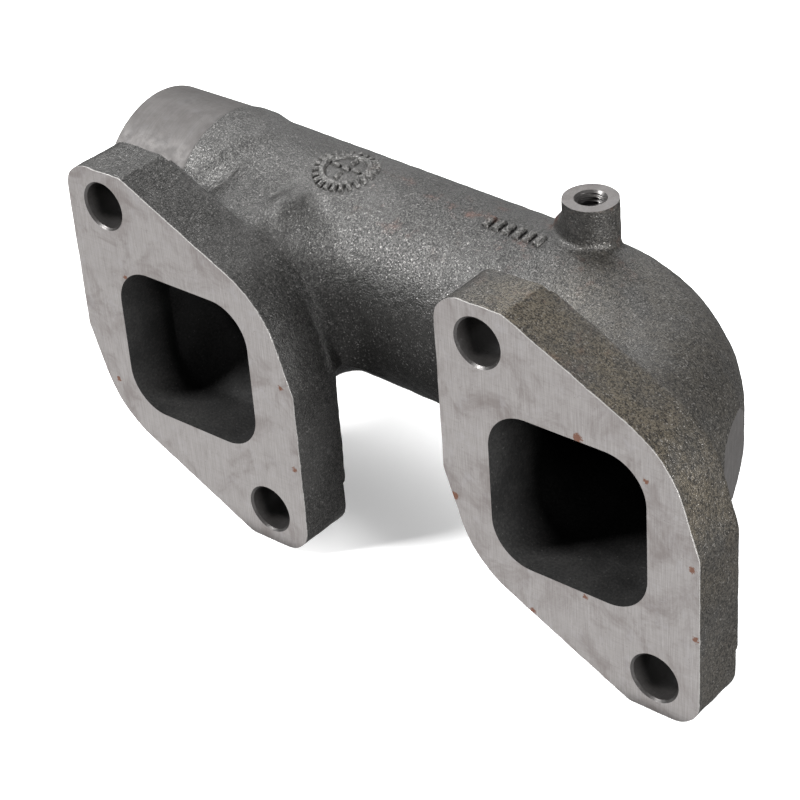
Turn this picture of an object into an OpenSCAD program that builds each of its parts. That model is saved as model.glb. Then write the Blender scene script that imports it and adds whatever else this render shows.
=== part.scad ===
// Two-port exhaust manifold, cast in iron with machined faces.
// Origin: centre of port 1 on the cylinder-head face. +X runs along the collector towards port 2,
// +Y points away from the cylinder head and +Z is up. Millimetres.
// The casting is drawn as its named regions, which meet face to face.

/* [Head flanges] */
// Distance between the two exhaust ports
port_pitch = 130; // [124:1:150]
// Thickness of each flange
flange_t = 18.8; // [16:0.1:22]
// Flange beside a stud hole, from the hole's centre to the upright side
ear_side = 13.35; // [12:0.05:16]
// Flange above a stud hole, from the hole's centre to the ear's end
ear_end = 10.75; // [9:0.05:14]
// Corner radius beside each stud hole
flange_corner_r = 8; // [4:0.5:12]
// Radius of the lobe that follows the port's corner
lobe_r = 30; // [28:0.5:31]
// Sideways distance from port centre to the lobe's centre
lobe_dx = 5.85; // [5:0.05:7]
// Vertical distance from port centre to the lobe's centre
lobe_dz = 6.25; // [5:0.05:8]
// Lean of the edge between the flange's upright side and the lobe, in degrees
side_lean = 18; // [15:0.5:22]
// Slope of the edge between the lobe and the stud ear, in degrees
ear_slope = 26.5; // [22:0.5:32]

/* [Ports and studs] */
// Width of the port opening
port_w = 48; // [40:0.5:50]
// Height of the port opening
port_h = 46; // [40:0.5:50]
// Corner radius of the port opening
port_corner_r = 12; // [6:0.5:18]
// Sideways distance from port centre to stud hole
stud_dx = 25.75; // [25:0.25:28]
// Vertical distance from port centre to stud hole
stud_dz = 40.85; // [39:0.05:42]
// Stud hole diameter
stud_hole_d = 13.5; // [9:0.5:15]
// Chamfer at the mouth of a stud hole
stud_chamfer = 0.6; // [0.3:0.1:1.5]
// Diameter of the spot face under a stud nut
spot_face_d = 28; // [24:0.5:30]
// Depth of the spot face
spot_face_depth = 2; // [0.5:0.25:3]

/* [Collector] */
// Clearance between the flanges' back faces and the collector
collector_gap = 3.9; // [3:0.1:8]
// Height of the collector's axis over port 1
collector_z = 15; // [12:0.5:16]
// Fall of the collector towards port 2, in degrees
collector_fall = 2.4; // [1.6:0.1:2.8]
// Outer radius of the collector
collector_r = 29.3; // [27:0.1:32]
// Wall thickness of the casting
wall = 6; // [4.5:0.25:7]
// Wall on each side of the front runner
runner_side_wall = 5; // [4:0.5:6]
// Radius of the front runner's rounded crown, which starts behind the flange's lobe
crown_r = 28.6; // [26:0.1:29]
// Place along the collector that the crown runs towards
crown_aim_x = -2; // [-6:0.5:6]
// How far under the collector's axis the crown runs in
crown_drop = 1.5; // [0.5:0.1:4]
// Distance over which the front runner's floor rises to the collector's
runner_ramp = 14; // [12:1:24]
// Wall on each side of the elbow at its flange
elbow_side_wall = 4.8; // [4:0.1:6]
// How far the elbow's flange end is set in towards port 1
elbow_tuck = 0.8; // [0:0.1:1.2]
// Height of the elbow's roof over the port opening, at its flange
elbow_roof_wall = 11; // [8:0.5:14]
// Wall under the port opening at the elbow's flange
elbow_floor_wall = 5.5; // [4.5:0.25:7]
// Depth of the flat ground on the elbow's flank
ground_depth = 2; // [1:0.1:2.6]
// Angle round the bend at which that flat lies
ground_angle = 71; // [60:1:76]

/* [Spigot] */
// Outer diameter of the machined spigot
spigot_d = 52; // [49:0.1:53]
// Wall of the spigot
spigot_wall = 6; // [4.5:0.25:8]
// Length of the machined spigot
spigot_l = 29; // [20:0.5:40]
// Height of the spigot's top over the collector's crest at the shoulder
spigot_rise = 1.8; // [0.5:0.1:3]
// How far the cast collar behind the spigot stands out past it
collar_step = 0.4; // [0.2:0.1:1.5]
// Length of the cast collar
collar_l = 6; // [4:0.5:10]
// Place of the shoulder between collar and collector
shoulder_x = -20; // [-22:0.5:-18]
// Chamfer on the spigot's end
spigot_chamfer = 1; // [0.5:0.1:2]

/* [Bracket boss] */
// Distance from the boss's axis to the start of the bend
boss_set_back = 0.8; // [0.2:0.1:8]
// Sideways distance from the collector's axis to the boss's axis
boss_offset = 8; // [2:0.5:10]
// Height of the boss's machined top over the collector's crest
boss_rise = 11.1; // [8:0.1:18]
// Outer diameter of the boss
boss_d = 15.5; // [14:0.5:20]
// Core diameter of the tapped hole, for an M8 screw
tap_core_d = 6.8; // [5:0.1:8.5]
// Diameter of the countersink at the mouth
tap_mouth_d = 9; // [8.5:0.1:11]
// Depth of the tapped hole
tap_depth = 10; // [8:0.5:11]

/* [Foundry marks] */
// Place of the ring mark along the collector
ring_x = 20.5; // [14:0.5:30]
// Outer diameter of the ring mark
ring_d = 19; // [16:0.5:22]
// Width of the ring's band
ring_band_w = 1.7; // [1:0.1:2.5]
// Diameter of the dot at the ring's centre
ring_hub_d = 2.3; // [1.5:0.1:4]
// Number of pips round the ring
ring_pips = 24; // [12:1:30]
// Length of a pip
pip_l = 3.8; // [2.5:0.1:4]
// Width of a pip
pip_w = 1.1; // [0.7:0.1:1.4]
// Sideways distance from the collector's axis to the middle of the marks
marks_offset = 2.5; // [0:0.5:5]
// Height of the marks over the surface
mark_h = 0.8; // [0.5:0.1:1.2]
// Distance from the batch bars to the start of the bend
batch_set_back = 18.3; // [17:0.1:26]
// Number of batch bars
batch_bars = 6; // [3:1:8]
// Length of one batch bar
bar_l = 4.4; // [3:0.1:5]
// Width of one batch bar
bar_w = 1.1; // [0.7:0.1:1.5]
// Distance from one batch bar to the next
bar_pitch = 3.3; // [2.5:0.1:4]

/* [Hidden] */
$fn = 96;

cast_dark = [0.27, 0.27, 0.27];
machined_grey = [0.62, 0.60, 0.58];

cut = 300;                                          // larger than the whole part
over = 1;                                           // how far a cutting shape runs past what it cuts
arc_steps = 10;                                     // flats in a rounded corner of the flange's outline
loft_rings = 18;
loft_quarter = 9;                                   // segments in a quarter of a section
least_flat = 0.01;                                  // flat left between two corners that nearly meet

function mix(a, b, t) = a + (b - a) * t;
function ease(t) = t * t * (3 - 2 * t);
function axis_z(x) = collector_z - x * tan(collector_fall);

flange_half_w = stud_dx + ear_side;
flange_half_h = stud_dz + ear_end;

collector_y = flange_t + collector_gap + collector_r;
collector_bore_r = collector_r - wall;
shoulder_t = wall;                                  // wall that closes the collector round the spigot's bore

runner_half_w = port_w / 2 + runner_side_wall;
runner_top = port_h / 2 + wall;
runner_corner_r = port_corner_r + wall;
runner_rise = runner_top - collector_r + collector_z;    // rise of the runner's floor to the collector's

bend_y = flange_t;                                  // the bend's centre lies on the flange's back face
elbow_r = collector_y - bend_y;
elbow_x = port_pitch - elbow_r;                     // plane where collector and elbow meet
elbow_half_w = port_w / 2 + elbow_side_wall;
elbow_roof = port_h / 2 + elbow_roof_wall;
elbow_bottom = port_h / 2 + elbow_floor_wall;
elbow_corner_r = port_corner_r + 2 * wall;

spigot_bore_d = spigot_d - 2 * spigot_wall;
spigot_z = axis_z(shoulder_x) + collector_r + spigot_rise - spigot_d / 2;
collar_d = spigot_d + 2 * collar_step;

boss_x = elbow_x - boss_set_back;
boss_y = collector_y + boss_offset;
boss_top = axis_z(boss_x) + collector_r + boss_rise;

marks_y = collector_y - marks_offset;
batch_x = elbow_x - batch_set_back;

function arc(centre, r, a0, a1) = [
    for (i = [0:arc_steps])
        let (a = a0 + (a1 - a0) * i / arc_steps)
        centre + r * [cos(a), sin(a)]
];

// A flat outline in X and Z, made thick along +Y from y0
module plate(y0, thickness) {
    translate([0, y0 + thickness, 0])
        rotate([90, 0, 0])
            linear_extrude(thickness) children();
}

module rounded_rect(half_w, half_h, r) {
    square([2 * half_w, 2 * (half_h - r)], center = true);
    square([2 * (half_w - r), 2 * half_h], center = true);
    for (sx = [-1, 1], sz = [-1, 1])
        translate([sx * (half_w - r), sz * (half_h - r)]) circle(r);
}

// Outline of a head flange: two lobes round the port and two stud ears, the same after half a turn
module flange_outline() {
    lobe = [lobe_dx, lobe_dz];
    lobe_start = lobe + lobe_r * [cos(side_lean), sin(side_lean)];
    lobe_end = lobe + lobe_r * [sin(ear_slope), cos(ear_slope)];
    side_z = lobe_start[1] - (flange_half_w - lobe_start[0]) / tan(side_lean);
    ear_x = lobe_end[0] - (flange_half_h - lobe_end[1]) / tan(ear_slope);
    ear = [flange_corner_r - flange_half_w, flange_half_h - flange_corner_r];
    half = concat(
        [[flange_half_w, side_z]],
        arc(lobe, lobe_r, side_lean, 90 - ear_slope),
        [[ear_x, flange_half_h]],
        arc(ear, flange_corner_r, 90, 180));
    polygon(concat(half, [for (p = half) -p]));
}

module stud_cuts() {
    for (s = [-1, 1])
        translate([-s * stud_dx, 0, s * stud_dz]) rotate([-90, 0, 0]) {
            translate([0, 0, -over]) cylinder(d = stud_hole_d, h = flange_t + 2 * over);
            translate([0, 0, -over])
                cylinder(r1 = stud_hole_d / 2 + stud_chamfer + over, r2 = stud_hole_d / 2,
                         h = stud_chamfer + over);
            translate([0, 0, flange_t - spot_face_depth])
                cylinder(d = spot_face_d, h = spot_face_depth + over);
        }
}

module head_flange() {
    difference() {
        plate(0, flange_t) flange_outline();
        plate(-over, flange_t + 2 * over) rounded_rect(port_w / 2, port_h / 2, port_corner_r);
        stud_cuts();
    }
}

// The collector's tilted axis as a rod of radius r, long enough to pass both of its ends
module collector_rod(r) {
    translate([0, collector_y, collector_z])
        rotate([0, 90 + collector_fall, 0])
            cylinder(r = r, h = cut * 2, center = true);
}

// Space between two planes across X
module slab(x0, x1) {
    translate([x0, -cut / 2, -cut / 2]) cube([x1 - x0, cut, cut]);
}

// The front runner inside or out: the port's outline, with a floor that rises to the collector
// and an outer wall that turns in to the collector's shoulder
module runner_shape(half_w, half_h, r, y0, end_x) {
    intersection() {
        plate(y0, collector_y - y0) rounded_rect(half_w, half_h, r);
        rotate([90, 0, 90])
            linear_extrude(cut, center = true)
                polygon([
                    [y0, -half_h],
                    [flange_t, -half_h],
                    [flange_t + runner_ramp, runner_rise - half_h],
                    [collector_y, runner_rise - half_h],
                    [collector_y, half_h],
                    [y0, half_h]
                ]);
        translate([0, 0, -cut / 2])
            linear_extrude(cut)
                polygon([
                    [-half_w, y0],
                    [-half_w, flange_t],
                    [end_x, collector_y - collector_bore_r],
                    [end_x, collector_y],
                    [half_w, collector_y],
                    [half_w, y0]
                ]);
    }
}

// Round crown of the front runner: a leaning rod from the flange's lobe to the collector
module runner_crown() {
    start = [lobe_dx, flange_t, lobe_dz];
    lean = [crown_aim_x, collector_y, axis_z(crown_aim_x) - crown_drop] - start;
    intersection() {
        translate(start)
            rotate([0, acos(lean[2] / norm(lean)), atan2(lean[1], lean[0])])
                cylinder(r = crown_r, h = cut, center = true);
        translate([shoulder_x, flange_t, -cut / 2]) cube([cut, collector_y - flange_t, cut]);
    }
}

module runner_passage() {
    runner_shape(port_w / 2, port_h / 2, port_corner_r, -over, shoulder_x + shoulder_t);
}

module spigot_bore(x1) {
    translate([shoulder_x - collar_l - spigot_l - over, collector_y, spigot_z])
        rotate([0, 90, 0])
            cylinder(d = spigot_bore_d, h = x1 - shoulder_x + collar_l + spigot_l + over);
}

// One section of the elbow: an upright rounded rectangle whose corners grow into a circle
function section(half_w, half_h, r, cz) = [
    for (q = [0:3], i = [0:loft_quarter - 1])
        let (a = 90 * (q + i / loft_quarter),
             sx = (q == 0 || q == 3) ? 1 : -1,
             sz = (q < 2) ? 1 : -1)
        [sx * (half_w - r) + r * cos(a), sz * (half_h - r) + r * sin(a) + cz]
];

// The section stood up at an angle round the bend: 0 at the collector and 90 at port 2
function bend_ring(outline, angle, tuck) = [
    for (p = outline)
        [elbow_x + (elbow_r + p[0] - tuck) * sin(angle), bend_y + (elbow_r + p[0]) * cos(angle), p[1]]
];

// Lofted bend. skin 0 is the outside and skin 1 is the passage, which runs a little past both ends.
module bend_loft(skin) {
    start_r = collector_r - skin * wall;
    end_w = skin == 0 ? elbow_half_w : port_w / 2;
    end_top = skin == 0 ? elbow_roof : port_h / 2;
    end_bottom = skin == 0 ? elbow_bottom : port_h / 2;
    end_r = skin == 0 ? elbow_corner_r : port_corner_r;
    start_z = axis_z(elbow_x);
    rings = [
        for (k = [0:loft_rings])
            let (t = k / loft_rings, e = t * ease(t), r = mix(start_r, end_r, e))
            bend_ring(section(
                max(mix(start_r, end_w, t), r + least_flat),
                max(mix(start_r, (end_top + end_bottom) / 2, e), r + least_flat),
                r,
                mix(start_z, (end_top - end_bottom) / 2, ease(t))), 90 * t, skin == 0 ? elbow_tuck : 0)
    ];
    first = [for (p = rings[0]) p - [over, 0, 0]];
    last = [for (p = rings[loft_rings]) p - [0, over, 0]];
    all = skin == 0 ? rings : concat([first], rings, [last]);
    n = 4 * loft_quarter;
    m = len(all);
    polyhedron(
        points = [for (ring = all, p = ring) p],
        faces = concat(
            [[for (i = [0:n - 1]) i]],
            [[for (i = [n - 1:-1:0]) (m - 1) * n + i]],
            [for (k = [0:m - 2], i = [0:n - 1])
                [k * n + i, (k + 1) * n + i, (k + 1) * n + (i + 1) % n, k * n + (i + 1) % n]]));
}

module flange_1() {
    color(machined_grey) head_flange();
}

module flange_2() {
    color(machined_grey) translate([port_pitch, 0, 0]) head_flange();
}

module runner_1() {
    color(cast_dark)
        difference() {
            union() {
                runner_shape(runner_half_w, runner_top, runner_corner_r, flange_t, shoulder_x);
                runner_crown();
            }
            runner_passage();
            collector_rod(collector_r);
            collar_body();
            spigot_body();
        }
}

module collector() {
    color(cast_dark)
        difference() {
            intersection() {
                collector_rod(collector_r);
                slab(shoulder_x, elbow_x);
            }
            intersection() {
                collector_rod(collector_bore_r);
                slab(shoulder_x + shoulder_t, elbow_x + over);
            }
            spigot_bore(shoulder_x + 2 * shoulder_t);
            runner_passage();
        }
}

module elbow() {
    color(cast_dark)
        difference() {
            bend_loft(0);
            bend_loft(1);
            translate([elbow_x, bend_y, 0])
                rotate([0, 0, 90 - ground_angle])
                    translate([elbow_r + collector_r - ground_depth, -cut / 2, -cut / 2]) cube(cut);
        }
}

module collar_body() {
    translate([shoulder_x - collar_l, collector_y, spigot_z])
        rotate([0, 90, 0])
            cylinder(d = collar_d, h = collar_l);
}

module collar() {
    color(cast_dark)
        difference() {
            collar_body();
            spigot_bore(shoulder_x + over);
        }
}

module spigot_body() {
    translate([shoulder_x - collar_l - spigot_l, collector_y, spigot_z])
        rotate([0, 90, 0]) {
            cylinder(r1 = spigot_d / 2 - spigot_chamfer, r2 = spigot_d / 2, h = spigot_chamfer);
            translate([0, 0, spigot_chamfer]) cylinder(d = spigot_d, h = spigot_l - spigot_chamfer);
        }
}

module spigot() {
    color(machined_grey)
        difference() {
            spigot_body();
            spigot_bore(shoulder_x + over);
        }
}

module bracket_boss() {
    color(cast_dark)
        translate([boss_x, boss_y, 0])
            difference() {
                translate([0, 0, axis_z(boss_x)]) cylinder(d = boss_d, h = boss_top - axis_z(boss_x));
                translate([-boss_x, -boss_y, 0]) {
                    collector_rod(collector_r);
                    bend_loft(0);
                }
                translate([0, 0, boss_top - tap_depth]) cylinder(d = tap_core_d, h = tap_depth + over);
                translate([0, 0, boss_top - (tap_mouth_d - tap_core_d) / 2])
                    cylinder(r1 = tap_core_d / 2, r2 = tap_mouth_d / 2 + over,
                             h = (tap_mouth_d - tap_core_d) / 2 + over);
            }
}

module ring_mark() {
    color(cast_dark)
        intersection() {
            difference() {
                collector_rod(collector_r + mark_h);
                collector_rod(collector_r);
            }
            translate([ring_x, marks_y, axis_z(ring_x)])
                linear_extrude(cut) {
                    difference() {
                        circle(d = ring_d - pip_l);
                        circle(d = ring_d - pip_l - 2 * ring_band_w);
                    }
                    circle(d = ring_hub_d);
                    for (i = [0:ring_pips - 1])
                        rotate(360 * i / ring_pips)
                            translate([(ring_d - pip_l) / 2, 0]) square([pip_l, pip_w], center = true);
                }
        }
}

module batch_marks() {
    color(cast_dark)
        intersection() {
            difference() {
                collector_rod(collector_r + mark_h);
                collector_rod(collector_r);
            }
            translate([batch_x, marks_y, axis_z(batch_x)])
                linear_extrude(cut)
                    for (i = [0:batch_bars - 1])
                        translate([(i - (batch_bars - 1) / 2) * bar_pitch, 0])
                            square([bar_w, bar_l], center = true);
        }
}

flange_1();
flange_2();
runner_1();
collector();
elbow();
collar();
spigot();
bracket_boss();
ring_mark();
batch_marks();
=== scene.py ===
import math
import bmesh
import bpy
import numpy as np
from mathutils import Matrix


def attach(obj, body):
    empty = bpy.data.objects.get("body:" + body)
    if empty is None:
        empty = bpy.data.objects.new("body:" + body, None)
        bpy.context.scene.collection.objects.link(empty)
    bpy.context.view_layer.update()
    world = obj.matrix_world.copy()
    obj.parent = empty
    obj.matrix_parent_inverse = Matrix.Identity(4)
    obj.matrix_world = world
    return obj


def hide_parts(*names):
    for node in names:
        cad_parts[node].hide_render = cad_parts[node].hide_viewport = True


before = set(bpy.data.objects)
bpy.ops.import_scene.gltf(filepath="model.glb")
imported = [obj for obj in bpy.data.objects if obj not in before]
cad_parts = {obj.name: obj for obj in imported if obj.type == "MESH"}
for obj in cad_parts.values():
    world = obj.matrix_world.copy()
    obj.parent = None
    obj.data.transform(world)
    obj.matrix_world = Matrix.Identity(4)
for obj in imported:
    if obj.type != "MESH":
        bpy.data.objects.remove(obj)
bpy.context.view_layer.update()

import openvdb as vdb
from mathutils import Vector
from mathutils.bvhtree import BVHTree

mm = 0.001
print("frame loaded")


# small helpers

def makeMesh(name, points, faces):
    mesh = bpy.data.meshes.new(name)
    mesh.from_pydata([tuple(p) for p in points], [], [tuple(f) for f in faces])
    mesh.update()
    return mesh


def makeObject(name, mesh):
    obj = bpy.data.objects.new(name, mesh)
    bpy.context.scene.collection.objects.link(obj)
    return obj


# closed solid of revolution; profile is (along, radius) from end to end, place maps to x, y, z
def wholeTurn(profile, segments, place):
    points, faces = [], []
    for along, radius in profile:
        for k in range(segments):
            a = 2 * math.pi * k / segments
            points.append(place(along, radius * math.cos(a), radius * math.sin(a)))
    n = segments
    for i in range(len(profile) - 1):
        for k in range(n):
            faces.append((i * n + k, i * n + (k + 1) % n, (i + 1) * n + (k + 1) % n, (i + 1) * n + k))
    faces.append(tuple(range(n - 1, -1, -1)))
    faces.append(tuple((len(profile) - 1) * n + k for k in range(n)))
    return points, faces


def outwards(mesh):
    bm = bmesh.new()
    bm.from_mesh(mesh)
    bmesh.ops.recalc_face_normals(bm, faces=bm.faces[:])
    bm.to_mesh(mesh)
    bm.free()
    return mesh


def boxPoints(low, high):
    points = [(x, y, z) for x in (low[0], high[0]) for y in (low[1], high[1]) for z in (low[2], high[2])]
    faces = [(0, 1, 3, 2), (4, 6, 7, 5), (0, 4, 5, 1), (2, 3, 7, 6), (0, 2, 6, 4), (1, 5, 7, 3)]
    return points, faces


# materials

class Nodes:
    def __init__(self, material):
        material.use_nodes = True
        self.tree = material.node_tree
        self.tree.nodes.clear()
        self.output = self.tree.nodes.new("ShaderNodeOutputMaterial")
        self.shader = self.tree.nodes.new("ShaderNodeBsdfPrincipled")
        self.tree.links.new(self.shader.outputs[0], self.output.inputs["Surface"])
        coords = self.tree.nodes.new("ShaderNodeTexCoord")
        scale = self.tree.nodes.new("ShaderNodeMapping")        # textures count in millimetres
        scale.inputs["Scale"].default_value = (1000, 1000, 1000)
        self.tree.links.new(coords.outputs["Object"], scale.inputs["Vector"])
        self.place = scale.outputs["Vector"]

    def add(self, kind, inputs=None, **settings):
        made = self.tree.nodes.new("ShaderNode" + kind)
        for key, value in settings.items():
            setattr(made, key, value)
        for key, value in (inputs or {}).items():
            if isinstance(value, bpy.types.NodeSocket):
                self.tree.links.new(value, made.inputs[key])
            else:
                made.inputs[key].default_value = value
        return made

    def noise(self, size, detail=3.0, rough=0.55, place=None, warp=0.0):
        return self.add("TexNoise", {"Vector": place or self.place, "Scale": 1.0 / size, "Detail": detail,
                                     "Roughness": rough, "Distortion": warp}).outputs["Fac"]

    def stretched(self, scale, turn=(0, 0, 0)):
        made = self.add("Mapping", {"Vector": self.place, "Scale": scale, "Rotation": turn})
        return made.outputs["Vector"]

    def step(self, value, low, high, to=(0.0, 1.0)):
        return self.add("MapRange", {"Value": value, "From Min": low, "From Max": high, "To Min": to[0],
                                     "To Max": to[1]}, interpolation_type="SMOOTHSTEP").outputs[0]

    def mul(self, a, b):
        return self.add("Math", {0: a, 1: b}, operation="MULTIPLY").outputs[0]

    def plus(self, a, b):
        return self.add("Math", {0: a, 1: b}, operation="ADD").outputs[0]

    def less(self, a, b):
        return self.add("Math", {0: a, 1: b}, operation="SUBTRACT").outputs[0]

    def mix(self, amount, a, b):
        made = self.add("Mix", data_type="RGBA", clamp_factor=True)
        for socket, value in ((made.inputs[0], amount), (made.inputs[6], a), (made.inputs[7], b)):
            if isinstance(value, bpy.types.NodeSocket):
                self.tree.links.new(value, socket)
            else:
                socket.default_value = (*value, 1) if isinstance(value, tuple) else value
        return made.outputs[2]

    def bump(self, height, distance, strength, under=None):
        inputs = {"Height": height, "Distance": distance * mm, "Strength": strength}
        if under is not None:
            inputs["Normal"] = under
        return self.add("Bump", inputs).outputs["Normal"]

    def finish(self, colour, rough, normal=None, metal=0.0, **constants):
        for key, value in {"Base Color": colour, "Roughness": rough, "Normal": normal}.items():
            if isinstance(value, bpy.types.NodeSocket):
                self.tree.links.new(value, self.shader.inputs[key])
            elif value is not None:
                self.shader.inputs[key].default_value = (*value, 1) if isinstance(value, tuple) else value
        if isinstance(metal, bpy.types.NodeSocket):
            self.tree.links.new(metal, self.shader.inputs["Metallic"])
        else:
            self.shader.inputs["Metallic"].default_value = metal
        for key, value in constants.items():
            self.shader.inputs[key].default_value = value


castLook = dict(
    dark=(0.009, 0.0088, 0.0084), grey=(0.045, 0.0438, 0.0418), light=(0.36, 0.35, 0.34),
    oliveDark=(0.016, 0.0135, 0.010), olive=(0.100, 0.084, 0.060), rust=(0.16, 0.055, 0.030),
    grainSize=0.50, grainHeight=0.32, roughness=0.41, metal=0.5,
)


# sand-cast skin: coarse grain, glints partly painted, brown and olive blooms, edges rubbed bright by the
# milling with a painted edge highlight, and painted shade under the pipe
def castIron(name, look, lift=1.0):
    n = Nodes(bpy.data.materials.new(name))
    grain = n.noise(look["grainSize"], detail=3, rough=0.6)
    coarse = n.noise(look["grainSize"] * 2.6, detail=3, rough=0.6)
    fine = n.noise(0.2, detail=2)
    cloud = n.noise(17, detail=5, rough=0.6, warp=0.4)
    broad = n.noise(38, detail=3)
    sand = n.plus(n.mul(grain, 0.65), n.mul(coarse, 0.35))
    lifted = tuple(c * lift for c in look["grey"])
    colour = n.mix(n.step(sand, 0.38, 0.62), look["dark"], lifted)
    colour = n.mix(n.step(broad, 0.40, 0.66, (0.0, 0.28)), colour, (0.080, 0.078, 0.076))
    split = n.add("SeparateXYZ", {"Vector": n.place})
    # painted shade: the pipe's underside between the flanges is darkened, standing in for the shade beneath
    # it
    under = n.mul(n.step(split.outputs[0], 104, 86), n.step(split.outputs[1], 17, 24))
    under = n.mul(n.step(split.outputs[2], 34, 2), under)
    colour = n.mix(n.mul(under, 0.80), colour, look["dark"])
    # olive and brown bloom, strongest on the second flange's upper side and faint on the bend
    onFlange = n.mul(n.step(split.outputs[1], 24, 10), n.step(split.outputs[2], -20, 18))
    where = n.mul(n.step(split.outputs[0], 88, 112), n.plus(n.mul(onFlange, 0.52), 0.26))
    bloom = n.mul(n.step(cloud, 0.30, 0.58, (0.25, 1.0)), where)
    colour = n.mix(bloom, colour, n.mix(n.step(sand, 0.40, 0.58), look["oliveDark"], look["olive"]))
    # faint red bloom on the pipe's crown and the bend
    red = n.mul(n.step(n.noise(8, detail=5, rough=0.7), 0.54, 0.72), n.step(split.outputs[2], 34, 44))
    red = n.mul(n.mul(red, n.step(split.outputs[0], 22, 40)), n.step(split.outputs[1], 12, 26, (0.3, 1.0)))
    colour = n.mix(n.mul(red, 0.34), colour, look["rust"])
    # bright facets of the grain; their lighter colour is partly painted glints
    cells = n.add("TexVoronoi", {"Vector": n.place, "Scale": 2.9})
    glint = n.step(n.add("SeparateColor", {"Color": cells.outputs["Color"]}).outputs[0], 0.80, 0.96)
    glint = n.mul(glint, n.step(grain, 0.48, 0.62))
    colour = n.mix(n.mul(glint, 0.40), colour, look["light"])
    # worn edge next to the milled faces, also a painted edge highlight along it
    ragged = n.mul(n.noise(1.1, detail=3), 0.5)
    wornEdgeAndHighlight = n.step(n.plus(split.outputs[1], ragged), 0.75, 0.42)
    colour = n.mix(n.mul(wornEdgeAndHighlight, 0.85), colour, look["light"])
    rough = n.step(n.plus(n.mul(grain, 0.8), n.mul(cloud, 0.2)), 0.3, 0.7,
                   (look["roughness"] + 0.14, look["roughness"] - 0.10))
    rough = n.less(rough, n.mul(glint, 0.12))
    normal = n.bump(n.plus(n.mul(coarse, 0.5), n.mul(grain, 0.6)), look["grainHeight"], 1.0)
    normal = n.bump(fine, 0.05, 0.6, normal)
    n.finish(colour, rough, normal, look["metal"])
    # painted shade: the pipe's underside also gets a lower specular level
    n.tree.links.new(n.less(0.5, n.mul(under, 0.40)), n.shader.inputs["Specular IOR Level"])
    return bpy.data.materials[name]


# the gas passages: near-black scale with a little grain
def sootedIron(name):
    n = Nodes(bpy.data.materials.new(name))
    grain = n.noise(0.7, detail=4)
    cloud = n.noise(12, detail=4)
    colour = n.mix(n.step(n.plus(n.mul(grain, 0.6), n.mul(cloud, 0.4)), 0.40, 0.70), (0.004, 0.004, 0.004),
                   (0.016, 0.0155, 0.015))
    flecks = n.step(n.noise(0.6, detail=1), 0.70, 0.76)
    colour = n.mix(n.mul(flecks, 0.25), colour, (0.12, 0.12, 0.115))
    n.finish(colour, n.step(cloud, 0.3, 0.7, (0.62, 0.85)), n.bump(grain, 0.25, 0.8), 0.1)
    n.shader.inputs["Specular IOR Level"].default_value = 0.25
    return bpy.data.materials[name]


milledLook = dict(base=(0.185, 0.171, 0.166), light=(0.30, 0.287, 0.281), stain=(0.105, 0.084, 0.078),
                  pale=(0.29, 0.282, 0.288), rust=(0.13, 0.046, 0.020), roughness=0.47, metal=0.6)
rustSpots = [(134, 24, 1.3), (94, -9, 1.2), (135, -24, 0.7), (118, -36, 0.8), (167, -2, 0.9),
             (168, -23, 0.9), (154, 19, 0.7), (-30, -17, 0.8), (35, 3, 0.7), (37, -23, 0.8),
             (-21, 20, 0.6)]                                    # x, z, radius


# cut iron; lay is face for a milled flange, turned for rings round X, bored for a drilled hole
def milledIron(name, look, lay="face", spotted=(), shade=1.0):
    n = Nodes(bpy.data.materials.new(name))
    toned = {key: tuple(c * shade for c in look[key]) for key in ("base", "light", "stain", "pale")}
    base, light, stain, pale = toned.values()
    if lay == "face":
        along = n.stretched((3.0, 1, 0.10), (0, math.radians(-16), 0))
        scratch = n.noise(1.0, detail=5, rough=0.7, place=along)
        across = n.stretched((0.09, 1, 2.6), (0, math.radians(30), 0))
        cross = n.noise(1.0, detail=4, rough=0.7, place=across)
    elif lay == "turned":
        scratch = n.noise(1.0, detail=3, rough=0.6, place=n.stretched((3.6, 0.06, 0.06)))
        cross = n.noise(3.0, detail=4)
    else:
        scratch = n.noise(1.0, detail=3, place=n.stretched((0.3, 4.0, 0.3)))
        cross = n.noise(0.5)
    cloud = n.noise(13, detail=5, rough=0.68, warp=0.8)
    patch = n.noise(5.0, detail=5, rough=0.7, warp=0.5)
    contrast = 1.0 if lay == "face" else 0.45
    lines = n.plus(n.mul(scratch, 0.65), n.mul(cross, 0.35))
    colour = n.mix(n.step(lines, 0.30, 0.70, (0.5 - contrast / 2, 0.5 + contrast / 2)), base, light)
    colour = n.mix(n.mul(n.step(cloud, 0.44, 0.70), 0.55 * contrast), colour, stain)
    colour = n.mix(n.mul(n.step(patch, 0.52, 0.70), 0.35), colour, pale)
    colour = n.mix(n.mul(n.step(n.noise(2.2, detail=4, rough=0.75), 0.58, 0.72), 0.30), colour, stain)
    pores = n.step(n.noise(0.55, detail=2), 0.67, 0.74)
    colour = n.mix(n.mul(pores, 0.6), colour, (0.07, 0.06, 0.055))
    rough = n.step(cross, 0.3, 0.7, (look["roughness"] - 0.06, look["roughness"] + 0.10))
    if spotted:
        ragged = n.mul(n.less(n.noise(0.8, detail=4, rough=0.7), 0.5), 3.2)
        rusty = None
        for x, z, r in spotted:
            gap = n.add("VectorMath", {0: n.place, 1: (x, 0, z)}, operation="DISTANCE").outputs["Value"]
            here = n.step(n.plus(gap, ragged), r + 0.25, r - 0.25)
            if rusty is None:
                rusty = here
            else:
                rusty = n.add("Math", {0: rusty, 1: here}, operation="MAXIMUM").outputs[0]
        colour = n.mix(n.mul(rusty, 0.85), colour, look["rust"])
        rough = n.plus(rough, n.mul(rusty, 0.3))
    normal = n.bump(scratch, 0.03, 0.5)
    normal = n.bump(pores, -0.06, 0.5, normal)
    n.finish(colour, rough, normal, look["metal"])
    return bpy.data.materials[name]


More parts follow.
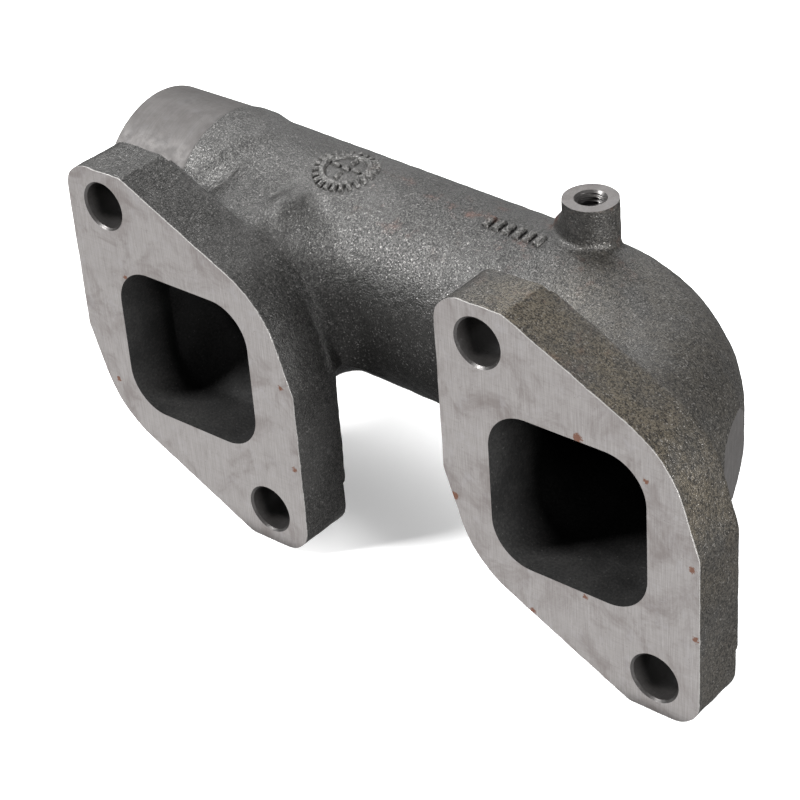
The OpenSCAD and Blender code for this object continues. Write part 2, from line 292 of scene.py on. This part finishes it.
castSkin = castIron("castIronSkin", castLook)
castRubbed = castIron("castIronRubbed", castLook, lift=2.2)
castInside = sootedIron("castIronPassage")
milledFace = milledIron("milledIronFace", milledLook, "face", rustSpots)
turnedFace = milledIron("turnedIron", dict(milledLook, roughness=0.60), "turned", (), 0.29)
boredFace = milledIron("boredIron", dict(milledLook, roughness=0.34), "bored", (), 0.20)
groundFace = milledIron("groundIron", dict(milledLook, roughness=0.42), "turned", (), 0.36)
bossTop = milledIron("facedBossIron", milledLook, "face", (), 0.50)
print("materials made")


# the casting's outside and its gas passages, as one distance field in millimetres

headFlange = dict(pitch=130.0, thick=18.8, halfWide=39.1, halfHigh=51.6, cornerR=8.0, lobeR=30.0,
                  lobe=(5.85, 6.25), sideLean=18.0, earSlope=26.5, backEdge=1.6)
port = dict(halfWide=24.0, halfHigh=23.0, corner=12.0)
pipe = dict(y=52.0, z=15.0, fall=2.4, r=29.3, wall=6.0)
collar = dict(z=20.94, r=26.4, end=-26.0, stepX=-6.6, stepLean=0.625, taper=1.3)
bend = dict(roof=34.0, floor=-28.5, halfWide=28.8, corner=24.0, tuck=0.8)
boss = dict(x=96.0, y=60.0, r=7.75, top=51.4, skirtTop=47.2, tapCore=3.4, tapMajor=4.1,
            pitch=1.25, depth=10.0, mouth=4.5)
fillet = dict(flange1=2.5, flange1Lobe=0.7, flange2=1.4, flange2Lobe=3.2, runner=8.0, crest=1.5, boss=1.6,
              collar=2.0, inside=5.0)
crown = dict(start=(5.85, 18.8, 6.25), end=(-1.0, 52.0, 13.6), r=29.5, flare=5.0, sink=5.5,
             foot=1.5, front=17.2, back=44.0, left=-8.0)
gridStep = 0.75

runnerHalf = port["halfWide"] + 5.0
runnerTop = port["halfHigh"] + pipe["wall"]
fallSlope = math.tan(math.radians(pipe["fall"]))
bendR = pipe["y"] - headFlange["thick"]
bendX = headFlange["pitch"] - bendR
floorRise = runnerTop - pipe["r"] + pipe["z"]


def roundJoin(a, b, r):
    return np.maximum(r, np.minimum(a, b)) - np.hypot(np.maximum(r - a, 0), np.maximum(r - b, 0))


def roundedBox(px, pz, halfWide, halfHigh, r):
    qx = np.abs(px) - (halfWide - r)
    qz = np.abs(pz) - (halfHigh - r)
    return np.hypot(np.maximum(qx, 0), np.maximum(qz, 0)) + np.minimum(np.maximum(qx, qz), 0) - r


def ease(t):
    t = np.clip(t, 0, 1)
    return t * t * (3 - 2 * t)


def arcPoints(centre, r, a0, a1, count=16):
    angles = [math.radians(a0 + (a1 - a0) * i / count) for i in range(count + 1)]
    return [(centre[0] + r * math.cos(a), centre[1] + r * math.sin(a)) for a in angles]


def flangeOutline(f):
    lean, slope = math.radians(f["sideLean"]), math.radians(f["earSlope"])
    lobe, r = f["lobe"], f["lobeR"]
    start = (lobe[0] + r * math.cos(lean), lobe[1] + r * math.sin(lean))
    end = (lobe[0] + r * math.sin(slope), lobe[1] + r * math.cos(slope))
    sideZ = start[1] - (f["halfWide"] - start[0]) / math.tan(lean)
    earX = end[0] - (f["halfHigh"] - end[1]) / math.tan(slope)
    ear = (f["cornerR"] - f["halfWide"], f["halfHigh"] - f["cornerR"])
    half = [(f["halfWide"], sideZ)] + arcPoints(lobe, r, f["sideLean"], 90 - f["earSlope"])
    half += [(earX, f["halfHigh"])] + arcPoints(ear, f["cornerR"], 90, 180)
    return half + [(-x, -z) for x, z in half]


def outlineDistance(outline, px, pz):
    best = np.full(np.broadcast(px, pz).shape, 1e9)
    inside = np.zeros(best.shape, bool)
    for (ax, az), (bx, bz) in zip(outline, outline[1:] + outline[:1]):
        ex, ez = bx - ax, bz - az
        length = ex * ex + ez * ez
        if length < 1e-12:
            continue
        t = np.clip(((px - ax) * ex + (pz - az) * ez) / length, 0, 1)
        best = np.minimum(best, np.hypot(px - ax - t * ex, pz - az - t * ez))
        if az != bz:
            crosses = (az > pz) != (bz > pz)
            inside ^= crosses & (px < ex * (pz - az) / ez + ax)
    return np.where(inside, -best, best)


def flangeField(x, y, z, centreX):
    outline = outlineDistance(flangeOutline(headFlange), x - centreX, z)
    r = headFlange["backEdge"]
    a, b = outline + r, y - headFlange["thick"] + r
    return np.minimum(np.maximum(a, b), 0) + np.hypot(np.maximum(a, 0), np.maximum(b, 0)) - r


def runnerField(x, y, z, halfWide, halfHigh, corner, endX):
    ramp = ease((y - headFlange["thick"] + 2) / 17)
    low = -halfHigh + floorRise * ramp
    turnEnd = pipe["y"] - pipe["r"] + pipe["wall"]
    reach = np.clip((y - headFlange["thick"]) / (turnEnd - headFlange["thick"]), 0, 1)
    left = -halfWide + (endX + halfWide) * reach
    section = roundedBox(x - (halfWide + left) / 2, z - (halfHigh + low) / 2,
                         (halfWide - left) / 2, (halfHigh - low) / 2, corner)
    return np.maximum(section, y - pipe["y"])


# the runner's round crown, a leaning rod from the flange's lobe to the pipe
def crownField(x, y, z):
    start, end = np.array(crown["start"]), np.array(crown["end"])
    lean = (end - start) / np.linalg.norm(end - start)
    px, py, pz = x - start[0], y - start[1], z - start[2]
    along = px * lean[0] + py * lean[1] + pz * lean[2]
    rod = np.sqrt(np.maximum(px * px + py * py + pz * pz - along * along, 0)) - crown["r"]
    rod = np.maximum(rod, np.maximum(y - pipe["y"], crown["front"] - y))
    # on the right the flange's own outline is carried back and flares out to the pipe
    flare = crown["flare"] * ease((y - headFlange["thick"]) / 14) * ease((x - 3) / 14)
    sink = crown["sink"] * ease((14 - x) / 20)
    hood = outlineDistance(flangeOutline(headFlange), x, z) - flare + sink
    hood = np.maximum(hood, np.maximum(y - crown["back"], crown["front"] - y))
    hood = np.maximum(hood, np.maximum(crown["left"] - x, crown["foot"] - z))
    return roundJoin(rod, hood, 0.01 + 3.0 * ease((12 - x) / 12))


def rodField(x, y, z, r):
    c = math.cos(math.radians(pipe["fall"]))
    return np.hypot(y - pipe["y"], (z - pipe["z"] + x * fallSlope) * c) - r


def bendField(x, y, z, r, halfWide, top, low, corner, tuck):
    angle = np.arctan2(x - bendX, y - headFlange["thick"])
    t = np.clip(angle / (math.pi / 2), 0, 1)
    e = t * ease(t)
    across = np.hypot(x - bendX, y - headFlange["thick"]) - bendR + tuck * np.sin(t * math.pi / 2) ** 2
    across = np.where(y < headFlange["thick"], x - bendX - bendR + tuck, across)
    startZ = pipe["z"] - bendX * fallSlope
    rr = r + (corner - r) * e
    wide = r + (halfWide - r) * t
    high = r + ((top - low) / 2 - r) * e
    mid = startZ + ((top + low) / 2 - startZ) * ease(t)
    return roundedBox(across, z - mid, np.maximum(wide, rr), np.maximum(high, rr), rr)


def outsideField(x, y, z):
    straight = rodField(x, y, z, pipe["r"])
    curved = bendField(x, y, z, pipe["r"], bend["halfWide"], bend["roof"], bend["floor"],
                       bend["corner"], bend["tuck"])
    trunk = np.where(x > bendX, curved, straight)
    trunk = np.maximum(trunk, -20.0 - x)
    runner = runnerField(x, y, z, runnerHalf, runnerTop, port["corner"] + pipe["wall"], -20.0)
    runner = roundJoin(runner, np.maximum(crownField(x, y, z), -21.0 - x), 3.0)
    # the valley beside the runner fades out towards the pipe's crest
    fade = fillet["crest"] + (fillet["runner"] - fillet["crest"]) * ease((40 - z) / 10)
    body = roundJoin(trunk, runner, fade)
    # the cast collar laps over the pipe's crown and ends on a slant
    lap = x - collar["stepX"] + np.abs(50 - y) * collar["stepLean"]
    ring = np.hypot(y - pipe["y"], z - collar["z"]) - collar["r"]
    ring = ring + collar["taper"] * ease((x + 25) / 17) + 3.2 * ease((lap + 4.5) / 8.5)
    ring = np.maximum(ring, lap - 2)
    body = roundJoin(body, ring, fillet["collar"])
    # the boss's foot runs out on the side away from the bend
    skirt = np.clip((boss["x"] - x) / 6, 0, 1) * ease((y - 52) / 9) * np.clip(boss["skirtTop"] - z, 0, 5)
    stem = np.hypot(x - boss["x"], y - boss["y"]) - boss["r"] - skirt * 0.8
    stem = np.maximum(stem, np.maximum(z - boss["top"] - 2, 30 - z))
    body = roundJoin(body, stem, fillet["boss"])
    # runner and bend lie nearly flush with the lobes of their flanges
    nearLobe = ease((x + 4) / 10) * ease((z - 2) / 12)
    soft = fillet["flange1"] + (fillet["flange1Lobe"] - fillet["flange1"]) * nearLobe
    body = roundJoin(body, flangeField(x, y, z, 0.0), soft)
    nearLobe = ease((x - 126) / 12) * ease((z - 2) / 12)
    soft = fillet["flange2"] + (fillet["flange2Lobe"] - fillet["flange2"]) * nearLobe
    return roundJoin(body, flangeField(x, y, z, headFlange["pitch"]), soft)


def passageField(x, y, z):
    r = pipe["r"] - pipe["wall"]
    straight = np.maximum(rodField(x, y, z, r), -14.0 - x)
    curved = bendField(x, y, z, r, port["halfWide"], port["halfHigh"], -port["halfHigh"],
                       port["corner"], 0.0)
    trunk = np.where(x > bendX, curved, straight)
    runner = runnerField(x, y, z, port["halfWide"], port["halfHigh"], port["corner"], -14.0)
    mouth = np.maximum(np.hypot(y - pipe["y"], z - collar["z"]) - 20.0, x + 4.0)
    return roundJoin(roundJoin(trunk, mouth, 2.0), runner, fillet["inside"])


# the slight waviness that a sand mould leaves
def unevenness(x, y, z):
    return (0.11 * np.sin(0.31 * x + 1.3) * np.sin(0.27 * y + 0.4) * np.sin(0.29 * z + 2.1)
            + 0.07 * np.sin(0.73 * x + 0.22 * z) * np.sin(0.61 * y + 0.8 - 0.3 * z)
            + 0.05 * np.sin(1.17 * z + 0.5 * y + 0.9) * np.sin(0.97 * x - 0.4 * y))


low = np.array([-42.0, -4.0, -55.0])
high = np.array([173.0, 84.5, 56.0])
counts = np.ceil((high - low) / gridStep).astype(int)
gx = (low[0] + gridStep * np.arange(counts[0], dtype=np.float32))[:, None, None]
gy = (low[1] + gridStep * np.arange(counts[1], dtype=np.float32))[None, :, None]
gz = (low[2] + gridStep * np.arange(counts[2], dtype=np.float32))[None, None, :]
outside = outsideField(gx, gy, gz) + unevenness(gx, gy, gz)
passage = passageField(gx, gy, gz)
solid = np.maximum(outside, -passage)
solid = np.maximum(solid, -2.6 - gy)                       # open at the head side and at the collar's end
solid = np.maximum(solid, np.minimum(-30.0 - gx, gy - 21.0))
field = vdb.FloatGrid(4.0)
field.copyFromArray(np.ascontiguousarray(solid, dtype=np.float32))
skinPoints, skinQuads = field.convertToQuads(0.0)
skinMesh = bpy.data.meshes.new("castingSkin")
skinMesh.from_pydata((skinPoints * gridStep + low).tolist(), [], skinQuads.tolist())
casting = makeObject("casting", skinMesh)
casting.data.materials.append(castSkin)
print("casting skinned:", len(skinQuads), "quads")


# machining: each cutter leaves its own finish

def cutterObject(points, faces, material):
    mesh = outwards(makeMesh("cutter", points, faces))
    mesh.materials.append(material)
    return makeObject("cutter", mesh)


def cutAway(obj, cutters):
    for cutter in cutters:
        cut = obj.modifiers.new("cut", "BOOLEAN")
        cut.operation = "DIFFERENCE"
        cut.solver = "MANIFOLD"
        cut.material_mode = "TRANSFER"
        cut.object = cutter
    ready = obj.evaluated_get(bpy.context.evaluated_depsgraph_get())
    mesh = bpy.data.meshes.new_from_object(ready)
    obj.modifiers.clear()
    obj.data = mesh
    for cutter in cutters:
        bpy.data.objects.remove(cutter)


studs = dict(dx=25.75, dz=40.85, r=6.75, chamfer=0.6, spotR=14.0, spotDepth=2.0)


def studCutters(centreX):
    made = []
    for side in (-1, 1):
        cx, cz = centreX - side * studs["dx"], side * studs["dz"]

        def place(along, u, v, cx=cx, cz=cz):
            return cx + u, along, cz + v

        r, c = studs["r"], studs["chamfer"]
        hole = [(-3, r + c + 3), (0, r + c), (c, r), (headFlange["thick"] + 1, r)]
        made.append(cutterObject(*wholeTurn(hole, 72, place), boredFace))
        seat = [(headFlange["thick"] - studs["spotDepth"], studs["spotR"]),
                (headFlange["thick"] + 5, studs["spotR"])]
        made.append(cutterObject(*wholeTurn(seat, 96, place), turnedFace))
    return made


# a drilled point, a helical thread and a countersunk mouth in one solid
def tappedHole():
    rounds, turns = 56, int((boss["depth"] + 1.5) / 0.125)
    points, faces = [], []
    bottom = boss["top"] - boss["depth"]
    for i in range(turns + 1):
        z = bottom + i * 0.125
        for k in range(rounds):
            a = 2 * math.pi * k / rounds
            wave = abs(((z / boss["pitch"] - k / rounds) % 1.0) * 2 - 1)
            r = boss["tapCore"] + (boss["tapMajor"] - boss["tapCore"]) * min(1.0, 1.25 * wave)
            r = max(r, boss["mouth"] + z - boss["top"])
            points.append((boss["x"] + r * math.cos(a), boss["y"] + r * math.sin(a), z))
    for i in range(turns):
        for k in range(rounds):
            m = (k + 1) % rounds
            faces.append((i * rounds + k, i * rounds + m, (i + 1) * rounds + m, (i + 1) * rounds + k))
    points.append((boss["x"], boss["y"], bottom - 1.8))
    points.append((boss["x"], boss["y"], bottom + turns * 0.125))
    for k in range(rounds):
        m = (k + 1) % rounds
        faces.append((len(points) - 2, m, k))
        faces.append((len(points) - 1, turns * rounds + k, turns * rounds + m))
    return points, faces


groundFlat = dict(angle=71.0, depth=2.0)


# a plane ground across the bend's flank
def flatCutter():
    a = math.radians(groundFlat["angle"])
    outward = Vector((math.sin(a), math.cos(a), 0))
    along = Vector((outward.y, -outward.x, 0))
    start = Vector((bendX, headFlange["thick"], 0)) + outward * (bendR + pipe["r"] - groundFlat["depth"])
    points, faces = boxPoints((-22, 0, -30), (22, 12, 60))
    return [tuple(start + along * p[0] + outward * p[1] + Vector((0, 0, p[2]))) for p in points], faces


cutters = [cutterObject(*boxPoints((-60, -12, -70), (200, 0, 80)), milledFace)]
cutters += studCutters(0.0) + studCutters(headFlange["pitch"])
cutters.append(cutterObject(*boxPoints((-60, 20.5, -70), (collar["end"], 110, 80)), turnedFace))
cutters.append(cutterObject(*boxPoints((84, 48, boss["top"]), (108, 72, boss["top"] + 12)), bossTop))
cutters.append(cutterObject(*tappedHole(), boredFace))
cutters.append(cutterObject(*flatCutter(), groundFace))
cutAway(casting, cutters)
print("machined:", len(casting.data.polygons), "faces")


# the casting is shared out between its named regions

whole = casting.data
whole.polygons.foreach_set("use_smooth", [True] * len(whole.polygons))
whole.set_sharp_from_angle(angle=math.radians(38))
spots = np.zeros(len(whole.vertices) * 3, np.float32)
whole.vertices.foreach_get("co", spots)
spots = spots.reshape(-1, 3)
loopVertex = np.zeros(len(whole.loops), np.int32)
whole.loops.foreach_get("vertex_index", loopVertex)
faceStart = np.zeros(len(whole.polygons), np.int32)
whole.polygons.foreach_get("loop_start", faceStart)
faceSize = np.zeros(len(whole.polygons), np.int32)
whole.polygons.foreach_get("loop_total", faceSize)
faceMaterial = np.zeros(len(whole.polygons), np.int32)
whole.polygons.foreach_get("material_index", faceMaterial)
centres = np.zeros(len(whole.polygons) * 3, np.float32)
whole.polygons.foreach_get("center", centres)
centres = centres.reshape(-1, 3)
loopNormals = np.zeros(len(whole.loops) * 3, np.float32)
whole.corner_normals.foreach_get("vector", loopNormals)
loopNormals = loopNormals.reshape(-1, 3)
wholeMaterials = list(whole.materials)
cx, cy, cz = centres.T

inFlange = cy < headFlange["thick"]
inBoss = (np.hypot(cx - boss["x"], cy - boss["y"]) < boss["r"] + fillet["boss"]) & (cz > 37.5)
nearTrunk = rodField(cx, cy, cz, pipe["r"]) < 2.5
regions = {
    "headFlange1": inFlange & (cx < 60),
    "headFlange2": inFlange & (cx >= 60),
    "spigotCollar": ~inFlange & (cx < -20) & (cy > 27),
    "bracketBoss": inBoss,
    "bendElbow": ~inFlange & ~inBoss & (cx >= bendX),
    "frontRunner": ~inFlange & (cx < 45) & ~nearTrunk,
}
taken = np.zeros(len(cx), bool)
for name in regions:
    regions[name] = regions[name] & ~taken
    taken |= regions[name]
regions["collectorPipe"] = ~taken

# faces of the gas passages get the sooty skin
insideDistance = np.abs(passageField(cx, cy, cz))
skinSlot = wholeMaterials.index(castSkin)
sooty = (faceMaterial == skinSlot) & (insideDistance < 0.9) & (outsideField(cx, cy, cz) < -1.5)
if castInside not in wholeMaterials:
    wholeMaterials.append(castInside)
faceMaterial[sooty] = wholeMaterials.index(castInside)


def pieceFrom(name, chosen):
    picked = np.nonzero(chosen)[0]
    loops = np.concatenate([np.arange(faceStart[i], faceStart[i] + faceSize[i]) for i in picked])
    used, local = np.unique(loopVertex[loops], return_inverse=True)
    ends = np.cumsum(faceSize[picked])
    mesh = bpy.data.meshes.new(name)
    mesh.from_pydata((spots[used] * mm).tolist(), [], [f.tolist() for f in np.split(local, ends[:-1])])
    slots = sorted(set(faceMaterial[picked].tolist()))
    for slot in slots:
        mesh.materials.append(wholeMaterials[slot])
    mesh.polygons.foreach_set("material_index", [slots.index(m) for m in faceMaterial[picked]])
    mesh.polygons.foreach_set("use_smooth", [True] * len(picked))
    mesh.normals_split_custom_set(loopNormals[loops].tolist())
    return makeObject(name, mesh)


standsFor = {"headFlange1": ("flange_1", "machined_iron"), "headFlange2": ("flange_2", "machined_iron"),
             "frontRunner": ("runner_1", "cast_iron"), "collectorPipe": ("collector", "cast_iron"),
             "bendElbow": ("elbow", "cast_iron"), "spigotCollar": ("collar", "cast_iron"),
             "bracketBoss": ("bracket_boss", "cast_iron")}
for name, (node, slot) in standsFor.items():
    piece = pieceFrom(name, regions[name])
    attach(piece, "root")
    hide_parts(node)
    print(" ", name, len(piece.data.polygons), "faces")
wholeTree = BVHTree.FromPolygons([tuple(p) for p in spots.tolist()],
                                 [loopVertex[s:s + c].tolist() for s, c in zip(faceStart, faceSize)])
bpy.data.objects.remove(casting)
print("regions shared out")


# slip spigot, turned on its outside

spigot = dict(start=-55.0, end=-26.0, r=26.0, bore=20.0, chamfer=1.0, boreChamfer=0.8, feed=0.5)


def turnedSpigot():
    s = spigot
    profile = [(s["end"] + 0.02, s["bore"]), (s["start"] + s["boreChamfer"], s["bore"]),
               (s["start"], s["bore"] + s["boreChamfer"]), (s["start"], s["r"] - s["chamfer"]),
               (s["start"] + s["chamfer"], s["r"])]
    x = s["start"] + s["chamfer"]
    while x < s["end"] - 1.2:                                # fine feed marks left by the tool
        profile.append((x + s["feed"] * 0.5, s["r"] - 0.012))
        profile.append((x + s["feed"], s["r"]))
        x += s["feed"]
    profile += [(s["end"] - 0.3, s["r"]), (s["end"] + 0.02, s["r"] + 0.15)]
    n, points, faces = 192, [], []
    for along, radius in profile:
        for k in range(n):
            a = 2 * math.pi * k / n
            y, z = pipe["y"] + radius * math.cos(a), collar["z"] + radius * math.sin(a)
            points.append((along * mm, y * mm, z * mm))
    for i in range(len(profile)):
        j = (i + 1) % len(profile)
        for k in range(n):
            faces.append((i * n + k, i * n + (k + 1) % n, j * n + (k + 1) % n, j * n + k))
    mesh = outwards(makeMesh("slipSpigot", points, faces))
    mesh.polygons.foreach_set("use_smooth", [True] * len(mesh.polygons))
    mesh.set_sharp_from_angle(angle=math.radians(30))
    mesh.materials.append(turnedFace)
    mesh.materials.append(castInside)
    for face in mesh.polygons:                               # the bore is left as cast
        c = face.center / mm
        if math.hypot(c.y - pipe["y"], c.z - collar["z"]) < spigot["bore"] + 0.1:
            face.material_index = 1
    return makeObject("slipSpigot", mesh)


piece = turnedSpigot()
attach(piece, "root")
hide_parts("spigot")
print("spigot turned")


# raised foundry marks that follow the pipe's skin

marks = dict(y=49.5, height=0.95, ringX=20.5, band=(5.9, 7.6), hub=1.2, pips=24, pipWide=0.72,
             batchX=78.5, bars=6, barHigh=4.4, barWide=1.0, barGap=3.3)


def softEdge(distance, width=0.28):
    return 1 - ease((distance + width) / (2 * width))


def ringHeight(u, v):
    r, a = np.hypot(u, v), np.arctan2(v, u)
    band = np.abs(r - sum(marks["band"]) / 2) - (marks["band"][1] - marks["band"][0]) / 2
    step = 2 * math.pi / marks["pips"]
    across = np.abs((a + step / 2) % step - step / 2) * r - marks["pipWide"]
    pips = np.maximum(across, np.abs(r - 8.4) - 1.1)
    hub = r - marks["hub"]
    spokes = np.minimum(np.abs(u) - 0.5, np.abs(v) - 0.5)
    spokes = np.maximum(spokes, np.abs(r - 3.6) - 1.4)
    return softEdge(np.minimum(np.minimum(band, pips), np.minimum(hub, spokes)))


def barsHeight(u, v):
    best = np.full(u.shape, 9.0)
    for i in range(marks["bars"]):
        middle = (i - (marks["bars"] - 1) / 2) * marks["barGap"]
        bar = np.maximum(np.abs(u - middle) - marks["barWide"], np.abs(v) - marks["barHigh"] / 2)
        best = np.minimum(best, bar)
    return softEdge(best)


def raisedMark(name, node, centre, half, heightOf):
    step = 0.16
    us = np.arange(-half[0], half[0] + step / 2, step)
    vs = np.arange(-half[1], half[1] + step / 2, step)
    u, v = np.meshgrid(us, vs, indexing="ij")
    rise = heightOf(u, v)
    wobble = 0.10 * np.sin(2.3 * u + 1.1) * np.sin(2.9 * v) + 0.06 * np.sin(5.1 * u) * np.sin(4.3 * v + 0.7)
    points = []
    for a, b, h, w in zip(u.ravel(), v.ravel(), rise.ravel(), wobble.ravel()):
        above = Vector((centre[0] + a, centre[1] + b, 90.0))
        hit, normal, _, _ = wholeTree.ray_cast(above, Vector((0, 0, -1)))
        points.append(hit + normal * (-0.22 + (marks["height"] + 0.22 + w) * h))
    keep = rise > 0.02
    n = len(vs)
    faces = []
    for i in range(len(us) - 1):
        for k in range(n - 1):
            if keep[i:i + 2, k:k + 2].any():
                faces.append((i * n + k, (i + 1) * n + k, (i + 1) * n + k + 1, i * n + k + 1))
    bm = bmesh.new()
    made = [bm.verts.new(p * mm) for p in points]
    for f in faces:
        bm.faces.new([made[i] for i in f])
    bmesh.ops.delete(bm, geom=[vert for vert in bm.verts if not vert.link_faces], context="VERTS")
    mesh = bpy.data.meshes.new(name)
    bm.to_mesh(mesh)
    bm.free()
    mesh.polygons.foreach_set("use_smooth", [True] * len(mesh.polygons))
    mesh.materials.append(castRubbed)
    obj = makeObject(name, mesh)
    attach(obj, "root")
    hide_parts(node)
    return obj


raisedMark("ringMark", "ring_mark", (marks["ringX"], marks["y"]), (10.2, 10.2), ringHeight)
raisedMark("batchBars", "batch_marks", (marks["batchX"], marks["y"]), (10.4, 3.0), barsHeight)
print("foundry marks raised")


# floor, light and camera

stage = dict(floorZ=-0.0516, floorHalf=3.0, floorColour=(0.93, 0.93, 0.93))
bm = bmesh.new()
bmesh.ops.create_grid(bm, x_segments=8, y_segments=8, size=stage["floorHalf"])
floorMesh = bpy.data.meshes.new("studioFloor")
bm.to_mesh(floorMesh)
bm.free()
floor = makeObject("studioFloor", floorMesh)
floor.location = (0.07, 0.04, stage["floorZ"] - 0.0005)
paper = Nodes(bpy.data.materials.new("paperFloor"))
shade = paper.noise(300, detail=2)
paper.finish(paper.mix(paper.mul(shade, 0.1), stage["floorColour"], (0.90, 0.90, 0.90)), 0.9)
paper.shader.inputs["Emission Color"].default_value = (1, 1, 1, 1)
paper.shader.inputs["Emission Strength"].default_value = 0.30
floor.data.materials.append(bpy.data.materials["paperFloor"])
floor.visible_diffuse = floor.visible_glossy = False      # keeps its glow off the dark underside

world = bpy.data.worlds.new("studioRoom")
world.use_nodes = True
world.node_tree.nodes["Background"].inputs["Color"].default_value = (1, 1, 1, 1)
world.node_tree.nodes["Background"].inputs["Strength"].default_value = 0.24
bpy.context.scene.world = world
bpy.context.scene.view_settings.view_transform = "Standard"

# the card lies on the floor before the flanges
lamps = {
    "keySoftbox": dict(at=(-0.54, -0.52, 0.86), size=0.30, watts=28),
    "topSoftbox": dict(at=(-0.55, 0.40, 0.86), size=0.55, watts=8.5),
    "sideSoftbox": dict(at=(0.95, -0.14, 0.26), size=0.35, watts=22),
    "backSoftbox": dict(at=(-0.25, 0.95, 0.35), size=0.60, watts=1.8),
    "frontCard": dict(at=(0.0, -0.252, -0.0515), size=0.50, watts=1.05, lying=True),
}
aim = Vector((0.06, 0.03, 0.0))
for name, lamp in lamps.items():
    data = bpy.data.lights.new(name, "AREA")
    data.size = lamp["size"]
    data.energy = lamp["watts"]
    light = bpy.data.objects.new(name, data)
    light.location = lamp["at"]
    light.rotation_euler = (aim - light.location).to_track_quat("-Z", "Y").to_euler()
    if lamp.get("lying"):
        light.rotation_euler = (math.pi, 0, 0)
        light.visible_diffuse = light.visible_camera = False
    bpy.context.scene.collection.objects.link(light)

shot = dict(at=(0.422085, -0.387451, 0.350639), turn=(56.9706, 3.7242, 39.2142), lens=108.13)
cameraData = bpy.data.cameras.new("shopCamera")
cameraData.lens = shot["lens"]
cameraData.sensor_width = 36
cameraData.clip_start = 0.01
camera = bpy.data.objects.new("shopCamera", cameraData)
camera.location = shot["at"]
camera.rotation_euler = [math.radians(a) for a in shot["turn"]]
bpy.context.scene.collection.objects.link(camera)
bpy.context.scene.camera = camera
print("stage and camera set")
